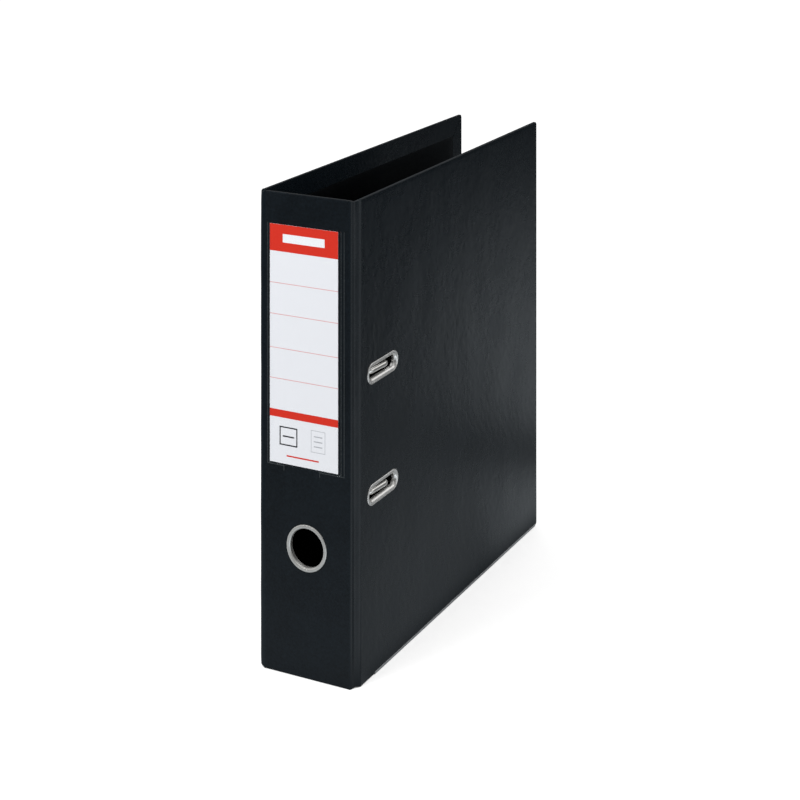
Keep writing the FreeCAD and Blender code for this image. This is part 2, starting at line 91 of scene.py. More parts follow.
# ---------------------------------------------------------------------------
# mesh helpers
# ---------------------------------------------------------------------------
def finish_mesh(ob, sharp=35.0):
    me = ob.data
    me.polygons.foreach_set("use_smooth", [True] * len(me.polygons))
    me.set_sharp_from_angle(angle=math.radians(sharp))
    me.update()
    return ob


def new_object(name, verts, faces, mat=None, sharp=35.0):
    me = bpy.data.meshes.new(name)
    me.from_pydata([tuple(p) for p in row(verts)], [], faces)
    bm = bmesh.new()
    bm.from_mesh(me)
    bmesh.ops.recalc_face_normals(bm, faces=bm.faces)
    bm.to_mesh(me)
    bm.free()
    ob = bpy.data.objects.new(name, me)
    bpy.context.scene.collection.objects.link(ob)
    if mat is not None:
        me.materials.append(mat)
    return finish_mesh(ob, sharp)


def cut(ob, cutters, sharp=35.0):
    for c in cutters:
        m = ob.modifiers.new("cut", "BOOLEAN")
        m.operation = "DIFFERENCE"
        m.solver = "EXACT"
        m.object = c
    bpy.context.view_layer.update()
    dg = bpy.context.evaluated_depsgraph_get()
    me = bpy.data.meshes.new_from_object(ob.evaluated_get(dg))
    ob.modifiers.clear()
    mats = list(ob.data.materials)
    ob.data = me
    ob.data.materials.clear()
    for m in mats:
        ob.data.materials.append(m)
    for c in cutters:
        bpy.data.objects.remove(c)
    return finish_mesh(ob, sharp)


def stadium_ring(r, yc, zc, hl, n=28):
    out = []
    for i in range(n + 1):
        a = -math.pi / 2 + math.pi * i / n
        out.append((yc + hl + r * math.cos(a), zc + r * math.sin(a)))
    for i in range(n + 1):
        a = math.pi / 2 + math.pi * i / n
        out.append((yc - hl + r * math.cos(a), zc + r * math.sin(a)))
    return out


def stadium_cutter(r, yc, zc, hl, x0, x1, use_toe=True):
    ring = stadium_ring(r, yc, zc, hl)
    n = len(ring)
    v = [(x0, y, z) for y, z in ring] + [(x1, y, z) for y, z in ring]
    f = [tuple(range(n)), tuple(range(2 * n - 1, n - 1, -1))]
    f += [(i, (i + 1) % n, n + (i + 1) % n, n + i) for i in range(n)]
    v = toe(v) if use_toe else v
    return new_object("cutter", v, f)


def round_cutter(r, xc, zc, y0, y1, n=96):
    v, f = [], []
    for y in (y0, y1):
        v += [(xc + r * math.cos(2 * math.pi * i / n), y, zc + r * math.sin(2 * math.pi * i / n)) for i in range(n)]
    f = [tuple(range(n)), tuple(range(2 * n - 1, n - 1, -1))]
    f += [(i, (i + 1) % n, n + (i + 1) % n, n + i) for i in range(n)]
    return new_object("cutter", v, f)


def slab(name, u, v, t, to_xyz, rims=("u1", "v0", "v1"), r=0.9, seg=4, corner=2.3,
         cell=4.0, warp=None, mat=None, after=None, sharp=35.0, r_in=None):
    """A board-like panel: u and v are its extents, t its two faces. rims names the
    edges the foil is wrapped round, which are rounded; corner rounds its corners."""
    nu = max(2, int(round((u[1] - u[0]) / cell)))
    nv = max(2, int(round((v[1] - v[0]) / cell)))
    us, vs = np.linspace(u[0], u[1], nu + 1), np.linspace(v[0], v[1], nv + 1)
    bm = bmesh.new()
    lay = []
    for tt in t:
        lay.append([[bm.verts.new((a, b, tt)) for b in vs] for a in us])
    for k in (0, 1):
        g = lay[k]
        for i in range(nu):
            for j in range(nv):
                q = (g[i][j], g[i + 1][j], g[i + 1][j + 1], g[i][j + 1])
                bm.faces.new(q if k else q[::-1])
    a, b = lay
    for i in range(nu):
        bm.faces.new((a[i][0], a[i + 1][0], b[i + 1][0], b[i][0]))
        bm.faces.new((a[i + 1][nv], a[i][nv], b[i][nv], b[i + 1][nv]))
    for j in range(nv):
        bm.faces.new((a[0][j + 1], a[0][j], b[0][j], b[0][j + 1]))
        bm.faces.new((a[nu][j], a[nu][j + 1], b[nu][j + 1], b[nu][j]))
    bmesh.ops.recalc_face_normals(bm, faces=bm.faces)
    bm.edges.ensure_lookup_table()

    def at(vert, side):
        c = vert.co
        return {"u0": abs(c.x - u[0]), "u1": abs(c.x - u[1]), "v0": abs(c.y - v[0]), "v1": abs(c.y - v[1])}[side] < 1e-5
    if corner > 0 and "u1" in rims:
        es = [e for e in bm.edges if abs(e.verts[0].co.z - e.verts[1].co.z) > 1e-6
              and at(e.verts[0], "u1") and (at(e.verts[0], "v0") or at(e.verts[0], "v1"))]
        bmesh.ops.bevel(bm, geom=es, offset=corner, offset_type="OFFSET", segments=5, profile=0.5, affect="EDGES")
    if r > 0 and rims:
        es = []
        for e in bm.edges:
            if abs(e.verts[0].co.z - e.verts[1].co.z) > 1e-6 or len(e.link_faces) != 2:
                continue
            n1, n2 = e.link_faces[0].normal, e.link_faces[1].normal
            if n1.dot(n2) > 0.5:
                continue
            mid = (e.verts[0].co + e.verts[1].co) / 2
            if "u0" not in rims and abs(mid.x - u[0]) < 1e-5:
                continue
            if "u1" not in rims and abs(mid.x - u[1]) < 1e-5:
                continue
            es.append(e)
        outer_es = [e for e in es if abs((e.verts[0].co.z + e.verts[1].co.z) / 2 - t[0]) < 1e-4]
        inner_es = [e for e in es if e not in set(outer_es)]
        if r_in is None:
            bmesh.ops.bevel(bm, geom=es, offset=r, offset_type="OFFSET", segments=seg, profile=0.5, affect="EDGES")
        else:
            keep = [(e.verts[0], e.verts[1]) for e in inner_es]
            bmesh.ops.bevel(bm, geom=outer_es, offset=r, offset_type="OFFSET", segments=seg, profile=0.5, affect="EDGES")
            again = [bm.edges.get(p) for p in keep if p[0].is_valid and p[1].is_valid]
            bmesh.ops.bevel(bm, geom=[e for e in again if e is not None], offset=r_in, offset_type="OFFSET", segments=3, profile=0.5, affect="EDGES")
    co = np.array([x.co[:] for x in bm.verts])
    if warp is not None:
        co = warp(co)
    xyz = np.array([to_xyz(*c) for c in co])
    if after is not None:
        xyz = after(xyz)
    xyz = row(xyz)
    for x, c in zip(bm.verts, xyz):
        x.co = c
    bmesh.ops.recalc_face_normals(bm, faces=bm.faces)
    me = bpy.data.meshes.new(name)
    bm.to_mesh(me)
    bm.free()
    ob = bpy.data.objects.new(name, me)
    bpy.context.scene.collection.objects.link(ob)
    if mat is not None:
        me.materials.append(mat)
    return finish_mesh(ob, sharp)


def plate_poly(name, pts, t, to_xyz, mat=None, after=None):
    n = len(pts)
    v = [to_xyz(a, b, t[0]) for a, b in pts] + [to_xyz(a, b, t[1]) for a, b in pts]
    f = [tuple(range(n)), tuple(range(2 * n - 1, n - 1, -1))]
    f += [(i, (i + 1) % n, n + (i + 1) % n, n + i) for i in range(n)]
    v = np.array(v, float)
    if after is not None:
        v = after(v)
    return new_object(name, v, f, mat)


def join(name, obs, mat=None):
    """Puts the meshes of several objects into one piece."""
    bm = bmesh.new()
    for o in obs:
        me = o.data.copy()
        me.transform(o.matrix_world)
        bm.from_mesh(me)
        bpy.data.meshes.remove(me)
    mats = list(obs[0].data.materials)
    me = bpy.data.meshes.new(name)
    bm.to_mesh(me)
    bm.free()
    for o in obs:
        bpy.data.objects.remove(o)
    ob = bpy.data.objects.new(name, me)
    bpy.context.scene.collection.objects.link(ob)
    for m in mats if mat is None else [mat]:
        me.materials.append(m)
    return finish_mesh(ob)


def smooth_profile(pts, n=6, closed=False):
    """Catmull-Rom through the points, for smooth pressed-metal sections."""
    p = np.array(pts, float)
    out = []
    m = len(p)
    last = m if closed else m - 1
    for i in range(last):
        if closed:
            p0, p1, p2, p3 = p[(i - 1) % m], p[i], p[(i + 1) % m], p[(i + 2) % m]
        else:
            p0, p1, p2, p3 = p[max(i - 1, 0)], p[i], p[i + 1], p[min(i + 2, m - 1)]
        for k in range(n):
            t = k / n
            out.append(0.5 * ((2 * p1) + (-p0 + p2) * t + (2 * p0 - 5 * p1 + 4 * p2 - p3) * t * t + (-p0 + 3 * p1 - 3 * p2 + p3) * t ** 3))
    if not closed:
        out.append(p[-1])
    return [tuple(q) for q in out]


def loop_faces(n_ring, n_prof, close_ring=True):
    f = []
    for i in range(n_ring if close_ring else n_ring - 1):
        for j in range(n_prof):
            a, b = i * n_prof + j, i * n_prof + (j + 1) % n_prof
            c, d = ((i + 1) % n_ring) * n_prof + (j + 1) % n_prof, ((i + 1) % n_ring) * n_prof + j
            f.append((a, b, c, d))
    return f


def lathe_y(name, prof, xc, zc, mat, n=128):
    v = []
    for i in range(n):
        a = 2 * math.pi * i / n
        v += [(xc + r * math.cos(a), y, zc + r * math.sin(a)) for r, y in prof]
    return new_object(name, v, loop_faces(n, len(prof)), mat, 50)


def lathe_x(name, prof, yc, zc, mat, n=64, sharp=50):
    """Solid of revolution about a line along X; the profile runs from the axis to the axis."""
    v, f = [], []
    inner = [p for p in prof if p[0] > 1e-6]
    m = len(inner)
    for i in range(n):
        a = 2 * math.pi * i / n
        v += [(x, yc + r * math.cos(a), zc + r * math.sin(a)) for r, x in inner]
    for i in range(n):
        k = (i + 1) % n
        for j in range(m - 1):
            f.append((i * m + j, i * m + j + 1, k * m + j + 1, k * m + j))
    v += [(prof[0][1], yc, zc), (prof[-1][1], yc, zc)]
    s, e = n * m, n * m + 1
    for i in range(n):
        k = (i + 1) % n
        f.append((s, i * m, k * m))
        f.append((e, k * m + m - 1, i * m + m - 1))
    return new_object(name, v, f, mat, sharp)


def stadium_sweep(name, prof, yc, zc, hl, mat, n=32, use_toe=True):
    v, cnt = [], 0
    for side, a0 in ((1, -math.pi / 2), (-1, math.pi / 2)):
        for i in range(n + 1):
            a = a0 + math.pi * i / n
            v += [(x, yc + side * hl + r * math.cos(a), zc + r * math.sin(a)) for r, x in prof]
            cnt += 1
    v = np.array(v)
    if use_toe:
        v = toe(v)
    return new_object(name, v, loop_faces(cnt, len(prof)), mat, 50)


def smoothnoise(y, z, seed, ly, lz):
    """Sum of a few fixed waves, as a soft uneven field of about +-1."""
    rs = np.random.RandomState(seed)
    out = np.zeros_like(y)
    for k in range(9):
        a = rs.uniform(0, 2 * math.pi)
        ky = 2 * math.pi / (ly * rs.uniform(0.7, 1.8)) * math.cos(a)
        kz = 2 * math.pi / (lz * rs.uniform(0.7, 1.8)) * math.sin(a)
        out += np.sin(ky * y + kz * z + rs.uniform(0, 2 * math.pi))
    return out / 3.2


# ---------------------------------------------------------------------------
# materials
# ---------------------------------------------------------------------------
class NT:
    """Short-hand for node trees."""
    def __init__(self, name):
        self.m = bpy.data.materials.new(name)
        self.m.use_nodes = True
        self.t = self.m.node_tree
        self.t.nodes.clear()
        self.out = self.t.nodes.new("ShaderNodeOutputMaterial")

    def n(self, kind, **kw):
        node = self.t.nodes.new(kind)
        for k, v in kw.items():
            setattr(node, k, v)
        return node

    def link(self, a, b):
        self.t.links.new(a, b)

    def math(self, op, a, b=None, c=None, clamp=False):
        m = self.n("ShaderNodeMath", operation=op, use_clamp=clamp)
        for i, x in enumerate((a, b, c)):
            if x is None:
                continue
            if isinstance(x, (int, float)):
                m.inputs[i].default_value = x
            else:
                self.link(x, m.inputs[i])
        return m.outputs[0]

    def coords(self, scale=(1, 1, 1), rot=(0, 0, 0)):
        c = self.n("ShaderNodeTexCoord")
        mp = self.n("ShaderNodeMapping", vector_type="TEXTURE")
        mp.inputs["Scale"].default_value = tuple(1.0 / k for k in scale)
        mp.inputs["Rotation"].default_value = tuple(math.radians(k) for k in rot)
        self.link(c.outputs["Object"], mp.inputs["Vector"])
        return mp.outputs["Vector"]

    def noise(self, vec, scale, detail=2.0, rough=0.5, dist=0.0):
        n = self.n("ShaderNodeTexNoise")
        n.inputs["Scale"].default_value = scale
        n.inputs["Detail"].default_value = detail
        n.inputs["Roughness"].default_value = rough
        n.inputs["Distortion"].default_value = dist
        self.link(vec, n.inputs["Vector"])
        return n.outputs["Fac"]

    def ramp(self, fac, stops):
        r = self.n("ShaderNodeValToRGB")
        el = r.color_ramp.elements
        while len(el) < len(stops):
            el.new(0.5)
        for e, (p, c) in zip(el, stops):
            e.position = p
            e.color = c if len(c) == 4 else (*c, 1)
        self.link(fac, r.inputs["Fac"])
        return r.outputs["Color"]

    def maprange(self, x, a, b, c, d, kind="LINEAR"):
        m = self.n("ShaderNodeMapRange", interpolation_type=kind)
        self.link(x, m.inputs["Value"])
        for k, v in zip(("From Min", "From Max", "To Min", "To Max"), (a, b, c, d)):
            m.inputs[k].default_value = v
        return m.outputs["Result"]

    def bump(self, height, dist, strength=1.0, normal=None):
        b = self.n("ShaderNodeBump")
        b.inputs["Strength"].default_value = strength
        b.inputs["Distance"].default_value = dist
        self.link(height, b.inputs["Height"])
        if normal is not None:
            self.link(normal, b.inputs["Normal"])
        return b.outputs["Normal"]

    def mix(self, fac, a, b):
        m = self.n("ShaderNodeMix", data_type="RGBA")
        for sock, x in ((m.inputs[0], fac), (m.inputs[6], a), (m.inputs[7], b)):
            if isinstance(x, (int, float)):
                sock.default_value = x
            elif isinstance(x, tuple):
                sock.default_value = x if len(x) == 4 else (*x, 1)
            else:
                self.link(x, sock)
        return m.outputs[2]

    def principled(self, **kw):
        p = self.n("ShaderNodeBsdfPrincipled")
        for k, v in kw.items():
            key = k.replace("_", " ")
            if isinstance(v, (int, float)):
                p.inputs[key].default_value = v
            elif isinstance(v, tuple):
                p.inputs[key].default_value = v if len(v) == 4 else (*v, 1)
            else:
                self.link(v, p.inputs[key])
        self.link(p.outputs[0], self.out.inputs["Surface"])
        return p


def foil_material(name, base, rough, wave, grain, wave_scale=(210.0, 210.0, 135.0), spec=0.25, linen=0.22, dull=0.6, speckle=0.24, shade=None):
    """Embossed polypropylene film: linen-like grain, soft peel in its reflections."""
    g = NT(name)
    raw = g.coords()
    # linen grain: two crossed sets of fine threads, broken up by noise
    sep = g.n("ShaderNodeSeparateXYZ")
    g.link(raw, sep.inputs[0])
    wob = g.noise(raw, 160.0, 2.0)
    wob2 = g.math("MULTIPLY", wob, 1.6)
    across = g.math("ADD", sep.outputs[0], sep.outputs[1])
    t1 = g.math("SINE", g.math("ADD", g.math("MULTIPLY", across, 5200.0), wob2))
    t2 = g.math("SINE", g.math("ADD", g.math("MULTIPLY", sep.outputs[2], 5200.0), wob2))
    weave = g.math("MULTIPLY", t1, t2)
    fine = g.noise(raw, 2600.0, 3.0, 0.65)
    grain_h = g.math("ADD", g.math("MULTIPLY", weave, linen), g.math("MULTIPLY", fine, 1.4))
    peel = g.noise(g.coords(wave_scale, (26.0, 0, 0)), 1.0, 1.6, 0.45, 0.4)
    slow = g.noise(g.coords((16.0, 16.0, 9.0)), 1.0, 1.5, 0.5)
    n1 = g.bump(g.math("ADD", peel, g.math("MULTIPLY", slow, 1.2)), wave)
    n2 = g.bump(grain_h, grain, 1.0, n1)
    # faint differences in tone and gloss, and rubbed marks
    cloud = g.noise(raw, 22.0, 4.0, 0.6)
    speck = g.math("ADD", g.math("MULTIPLY", cloud, 0.4), g.math("MULTIPLY", g.noise(raw, 800.0, 2.0, 0.6), 0.6))
    col = g.mix(g.maprange(speck, 0.35, 0.65, 0.0, 1.0), tuple(c * (1 - speckle) for c in base), tuple(c * (1 + speckle) for c in base))
    rub = g.noise(g.coords((60.0, 60.0, 300.0)), 1.0, 5.0, 0.7)
    ro = g.math("ADD", g.maprange(cloud, 0.25, 0.75, rough - 0.035, rough + 0.045), g.maprange(rub, 0.55, 0.8, 0.0, 0.05))
    # the narrow folded edges at the top are rubbed dull
    geo = g.n("ShaderNodeNewGeometry")
    sg = g.n("ShaderNodeSeparateXYZ")
    g.link(geo.outputs["Normal"], sg.inputs[0])
    edge = g.maprange(g.math("ABSOLUTE", sg.outputs[2]), 0.15, 0.6, 0.0, 1.0, "SMOOTHSTEP")
    ro = g.math("ADD", ro, g.math("MULTIPLY", edge, 0.22))
    sp = g.math("SUBTRACT", spec, g.math("MULTIPLY", edge, spec * dull))
    if shade is not None:
        # deep between closed covers hardly any light arrives
        ao = g.n("ShaderNodeAmbientOcclusion", samples=8)
        ao.inputs["Distance"].default_value = 0.16
        dim = g.maprange(ao.outputs["AO"], 0.28, 0.9, shade, 1.0, "SMOOTHSTEP")
        col = g.mix(dim, (0.0, 0.0, 0.0), col)
        sp = g.math("MULTIPLY", sp, dim)
    g.principled(Base_Color=col, Roughness=ro, Normal=n2, Specular_IOR_Level=sp)
    return g.m


def metal_material(name, base, rough, brushed=None, scratch=0.10, bevel=0.0, tone=0.08, satin=0.12):
    """Plated steel: base tone, gloss broken by fine marks, optional brushing direction."""
    g = NT(name)
    raw = g.coords()
    sc = brushed or (900.0, 900.0, 900.0)
    marks = g.noise(g.coords(sc), 1.0, 3.0, 0.6)
    cloud = g.noise(raw, 120.0, 3.0, 0.6)
    col = g.mix(g.maprange(cloud, 0.3, 0.7, 0.0, 1.0), tuple(c * (1 - tone) for c in base), base)
    ro = g.math("ADD", g.maprange(marks, 0.3, 0.7, rough - scratch * 0.4, rough + scratch), g.maprange(cloud, 0.5, 0.8, 0.0, scratch * 0.6), clamp=True)
    normal = None
    if bevel > 0:
        b = g.n("ShaderNodeBevel", samples=6)
        b.inputs["Radius"].default_value = bevel
        normal = b.outputs[0]
    nn = g.bump(marks, 0.000012, 1.0, normal)
    g.principled(Base_Color=col, Metallic=1.0 - satin, Roughness=ro, Normal=nn)
    return g.m


BLACK = (0.0036, 0.0060, 0.0084)
M_FOIL = foil_material("cover_foil", BLACK, 0.26, 0.00015, 0.000016)
M_SPINE = foil_material("spine_foil_finish", tuple(c * 0.84 for c in BLACK), 0.44, 0.00014, 0.000050, linen=0.7, dull=0.1, speckle=0.42)
# painted shade: the lining is the cover's black foil with its colour darkened to 0.75, and shade=0.04 darkens colour
# and gloss further by ambient occlusion, for the shade deep inside the closed file
M_LINING_SHADED = foil_material("lining_foil", tuple(c * 0.75 for c in BLACK), 0.50, 0.00014, 0.000014, spec=0.2, shade=0.04)
M_RIM = metal_material("nickel_rim", (0.80, 0.79, 0.77), 0.20, scratch=0.08, satin=0.2)
M_RING = metal_material("ring_nickel", (0.66, 0.66, 0.64), 0.34, scratch=0.10, satin=0.24)
M_WIRE = metal_material("nickel_wire", (0.80, 0.79, 0.76), 0.12, scratch=0.06)
M_SHEET = metal_material("pressed_steel", (0.70, 0.70, 0.68), 0.26, brushed=(2400.0, 2400.0, 160.0), scratch=0.10, bevel=0.0004, tone=0.05, satin=0.15)
M_LEVER = metal_material("lever_steel", (0.72, 0.72, 0.70), 0.18, brushed=(2400.0, 2400.0, 300.0), scratch=0.10, bevel=0.0005)
M_PIN = metal_material("fastener_steel", (0.60, 0.60, 0.60), 0.30, scratch=0.12, bevel=0.0003)
M_SHOE = metal_material("edge_metal", (0.66, 0.67, 0.68), 0.28, brushed=(2000.0, 60.0, 2000.0), scratch=0.12)


def board_material():
    g = NT("greyboard")
    raw = g.coords()
    f = g.noise(g.coords((3000.0, 500.0, 500.0)), 1.0, 4.0, 0.7)
    col = g.ramp(f, [(0.3, (0.20, 0.19, 0.17)), (0.7, (0.36, 0.34, 0.31))])
    g.principled(Base_Color=col, Roughness=0.95, Normal=g.bump(f, 0.00008))
    return g.m


def roller_material():
    g = NT("roller_plastic")
    raw = g.coords()
    f = g.noise(raw, 700.0, 3.0, 0.6)
    col = g.mix(g.maprange(f, 0.3, 0.7, 0, 1), (0.66, 0.65, 0.60), (0.74, 0.73, 0.68))
    g.principled(Base_Color=col, Roughness=g.maprange(f, 0.3, 0.7, 0.38, 0.5), Normal=g.bump(f, 0.00002), Subsurface_Weight=0.1)
    return g.m


def label_material():
    """White card with a red head, ruled lines, a red band and blank boxes; all places in mm."""
    g = NT("label_paper")
    c = g.n("ShaderNodeTexCoord")
    sep = g.n("ShaderNodeSeparateXYZ")
    g.link(c.outputs["Object"], sep.inputs[0])
    X = g.math("SUBTRACT", g.math("MULTIPLY", sep.outputs[0], 1000.0), OX)
    Z = g.math("MULTIPLY", sep.outputs[2], 1000.0)

    def rect(x0, x1, z0, z1, soft=0.06):
        a = g.maprange(g.math("ABSOLUTE", g.math("SUBTRACT", X, (x0 + x1) / 2)), (x1 - x0) / 2 - soft, (x1 - x0) / 2 + soft, 1.0, 0.0)
        b = g.maprange(g.math("ABSOLUTE", g.math("SUBTRACT", Z, (z0 + z1) / 2)), (z1 - z0) / 2 - soft, (z1 - z0) / 2 + soft, 1.0, 0.0)
        return g.math("MULTIPLY", a, b)

    def frame_box(x0, x1, z0, z1, w):
        return g.math("SUBTRACT", rect(x0, x1, z0, z1), rect(x0 + w, x1 - w, z0 + w, z1 - w), clamp=True)

    raw = c.outputs["Object"]
    fibre = g.noise(raw, 1500.0, 4.0, 0.7)
    paper = g.mix(g.maprange(fibre, 0.3, 0.7, 0, 1), (0.570, 0.578, 0.605), (0.598, 0.604, 0.628))
    red = g.mix(g.maprange(fibre, 0.3, 0.7, 0, 1), (0.468, 0.0200, 0.0093), (0.496, 0.0225, 0.0110))
    pink = (0.52, 0.19, 0.19)
    ink = (0.016, 0.017, 0.020)
    grey = (0.30, 0.31, 0.33)
    col = paper
    for z in (258.0, 237.3, 214.9, 194.7):
        col = g.mix(rect(0, 80, z - 0.19, z + 0.19, 0.05), col, pink)
    col = g.mix(rect(0, 80, 279.0, 300.0), col, red)
    col = g.mix(rect(0, 80, 169.15, 174.2), col, red)
    # head: a plain white strip for a heading
    col = g.mix(rect(19.0, 51.5, 285.2, 290.8), col, (0.62, 0.63, 0.65))
    # foot: two blank index boxes and short rules
    col = g.mix(frame_box(16.5, 30.5, 151.0, 163.5, 0.9), col, ink)
    col = g.mix(rect(19.0, 28.0, 156.6, 157.6), col, ink)
    col = g.mix(frame_box(41.0, 52.0, 150.0, 164.5, 0.35), col, grey)
    for z in (160.5, 157.2, 153.9):
        col = g.mix(rect(43.2, 49.8, z - 0.35, z + 0.35), col, grey)
    col = g.mix(rect(22.0, 47.0, 143.9, 144.9), col, red)
    # only the face is printed: the back and the cut edges are plain card
    sn = g.n("ShaderNodeSeparateXYZ")
    g.link(c.outputs["Normal"], sn.inputs[0])
    col = g.mix(g.math("LESS_THAN", sn.outputs[1], -0.5), paper, col)
    g.principled(Base_Color=col, Roughness=0.55, Normal=g.bump(fibre, 0.000012), Specular_IOR_Level=0.2)
    return g.m


def film_material():
    """Clear soft film: mostly see-through, with a gloss that grows at low angles."""
    g = NT("clear_film")
    raw = g.coords()
    w = g.noise(g.coords((40.0, 40.0, 18.0)), 1.0, 2.0, 0.5)
    nn = g.bump(w, 0.0006)
    tr = g.n("ShaderNodeBsdfTransparent")
    tr.inputs[0].default_value = (0.985, 0.988, 0.99, 1)
    gl = g.n("ShaderNodeBsdfGlossy")
    gl.inputs["Roughness"].default_value = 0.14
    g.link(nn, gl.inputs["Normal"])
    fr = g.n("ShaderNodeFresnel")
    fr.inputs["IOR"].default_value = 1.45
    g.link(nn, fr.inputs["Normal"])
    mx = g.n("ShaderNodeMixShader")
    geo = g.n("ShaderNodeNewGeometry")
    front = g.math("SUBTRACT", 1.0, geo.outputs["Backfacing"])
    g.link(g.math("MULTIPLY", g.math("MULTIPLY", fr.outputs[0], 0.3), front), mx.inputs[0])
    g.link(tr.outputs[0], mx.inputs[1])
    g.link(gl.outputs[0], mx.inputs[2])
    g.link(mx.outputs[0], g.out.inputs["Surface"])
    return g.m


def weld_material():
    """Film pressed into the foil along the pocket's welds: dark, with a wet gloss."""
    g = NT("pocket_weld")
    raw = g.coords()
    f = g.noise(raw, 1400.0, 3.0, 0.6)
    col = g.mix(g.maprange(f, 0.3, 0.7, 0, 1), (0.016, 0.020, 0.022), (0.026, 0.031, 0.034))
    g.principled(Base_Color=col, Roughness=g.maprange(f, 0.3, 0.7, 0.18, 0.32), Normal=g.bump(f, 0.00003), Coat_Weight=0.4)
    return g.m


M_BOARD = board_material()
M_ROLLER = roller_material()
M_LABEL = label_material()
M_FILM = film_material()
M_WELD = weld_material()


def paint(node, mat):
    o = NODES[node]
    o.data.materials.clear()
    o.data.materials.append(mat)
    for p in o.data.polygons:
        p.material_index = 0


for n in ("back_cover_board", "front_cover_board", "spine_board"):
    paint(n, M_BOARD)
for n in ("base_plate",):
    paint(n, M_SHEET)
paint("lever", M_LEVER)
for n in ("upper_post", "lower_post", "arch_wire"):
    paint(n, M_WIRE)
for n in ("base_plate_rivets", "lever_pivot_pin", "roller_pin"):
    paint(n, M_PIN)
paint("lever_roller", M_ROLLER)
paint("spine_label", M_LABEL)

# ---------------------------------------------------------------------------
# covers: foil shell with turned-in edges, lining panel, mitred turn-ins
# ---------------------------------------------------------------------------
INNER = T - 0.22      # inner face of the foil shell under the turn-ins
Y0B, Y0F = 4.5, 7.0


def cover_warp(seed):
    def f(co):
        y, z, t = co[:, 0], co[:, 1], co[:, 2]
        edge = np.clip((D - y) / 12.0, 0, 1) * np.clip((y - 10.0) / 12.0, 0, 1) * np.clip((z - 8) / 14.0, 0, 1) * np.clip((H - z) / 14.0, 0, 1)
        slot = 1.0
        for zs in SLOT_Z:
            d = np.hypot(np.maximum(np.abs(y - SLOT_Y) - SLOT_HL, 0), z - zs)
            slot = slot * np.clip((d - 8.0) / 10.0, 0, 1)
        w = smoothnoise(y, z, seed, 34.0, 75.0) * 0.045
        outer = t < 0.5
        co[:, 2] = np.where(outer, t - (0.05 + w) * edge * slot, t)
        return co
    return f


def cover(side):
    front = side == "front"
    y0 = Y0F if front else Y0B
    if front:
        def to(y, z, t): return (W - t, y, z)
        after = toe
    else:
        def to(y, z, t): return (t, y, z)
        after = None
    foil = slab(side + "_cover_foil_skin", (y0, D), (0.35, H), (0.0, INNER), to, r=0.76, r_in=0.34, seg=5, cell=3.6,
                warp=cover_warp(11 if front else 23), mat=M_FOIL, after=after)
    lining = slab(side + "_cover_lining_panel", (y0 + 0.05, D - 15.0), (15.35, H - 15.0), (INNER - 0.02, T), to,
                  rims=("u1", "v0", "v1"), r=0.09, seg=2, corner=0, cell=9.0, mat=M_LINING_SHADED, after=after)
    e, w = 0.36, 16.5
    strips = []
    t_low, t_high = (INNER - 0.02, INNER + 0.07), (INNER - 0.02, INNER + 0.13)
    strips.append(plate_poly("s", [(y0, H - e), (D - e - 0.4, H - e), (D - w - 2.0, H - w), (y0, H - w)], t_low, to, M_FOIL, after))
    strips.append(plate_poly("s", [(y0, 0.35 + e), (D - e - 0.4, 0.35 + e), (D - w - 2.0, 0.35 + w), (y0, 0.35 + w)], t_low, to, M_FOIL, after))
    strips.append(plate_poly("s", [(D - e, 0.35 + e + 1.5), (D - e, H - e - 1.5), (D - w, H - w - 1.0), (D - w, 0.35 + w + 1.0)], t_high, to, M_FOIL, after))
    turn = join(side + "_cover_turn_ins", strips)
    if front:
        foil = cut(foil, [stadium_cutter(4.85, SLOT_Y, z, SLOT_HL, W - T - 4, W + 4) for z in SLOT_Z])
        lining = cut(lining, [stadium_cutter(4.85, SLOT_Y, z, SLOT_HL, W - T - 4, W + 4) for z in SLOT_Z])
    body = side + "_cover"
    for o, s in ((foil, "cover_foil"), (turn, "cover_foil"), (lining, "lining_foil")):
        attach(o, body)
    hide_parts(side + "_cover_foil")
    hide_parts(side + "_cover_lining")
    return foil, lining, turn


cover("back")
cover("front")

# ---------------------------------------------------------------------------
# spine: foil shell, lining
# ---------------------------------------------------------------------------
def spine_warp(co):
    x, z, t = co[:, 0], co[:, 1], co[:, 2]
    edge = np.clip((x - 7) / 8.0, 0, 1) * np.clip((68.0 - x) / 8.0, 0, 1) * np.clip((z - 6) / 10.0, 0, 1) * np.clip((132.0 - z) / 10.0, 0, 1)
    d = np.hypot(x - RING[0], z - RING[1])
    edge = edge * np.clip((d - 16.0) / 10.0, 0, 1)
    w = smoothnoise(x, z, 5, 24.0, 50.0) * 0.03
    co[:, 2] = np.where(t < 0.5, t - (0.03 + w) * edge, t)
    return co


sp = slab("spine_foil_skin", (5.0, 70.0), (0.0, H), (0.0, INNER), lambda x, z, t: (x, t, z), rims=("v0", "v1"), r=0.72, r_in=0.34, seg=5,
          corner=0, cell=3.25, warp=spine_warp, mat=M_SPINE)
sp = cut(sp, [round_cutter(13.45, RING[0], RING[1], -5, 8)])
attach(sp, "spine"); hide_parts("spine_foil")
sl = slab("spine_lining_panel", (5.0, 70.0), (15.0, H - 15.0), (INNER - 0.02, T), lambda x, z, t: (x, t, z), rims=("v0", "v1"), r=0.09,
          seg=2, corner=0, cell=6.5, mat=M_LINING_SHADED)
sl = cut(sl, [round_cutter(13.45, RING[0], RING[1], -5, 8)])
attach(sl, "spine"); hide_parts("spine_lining")

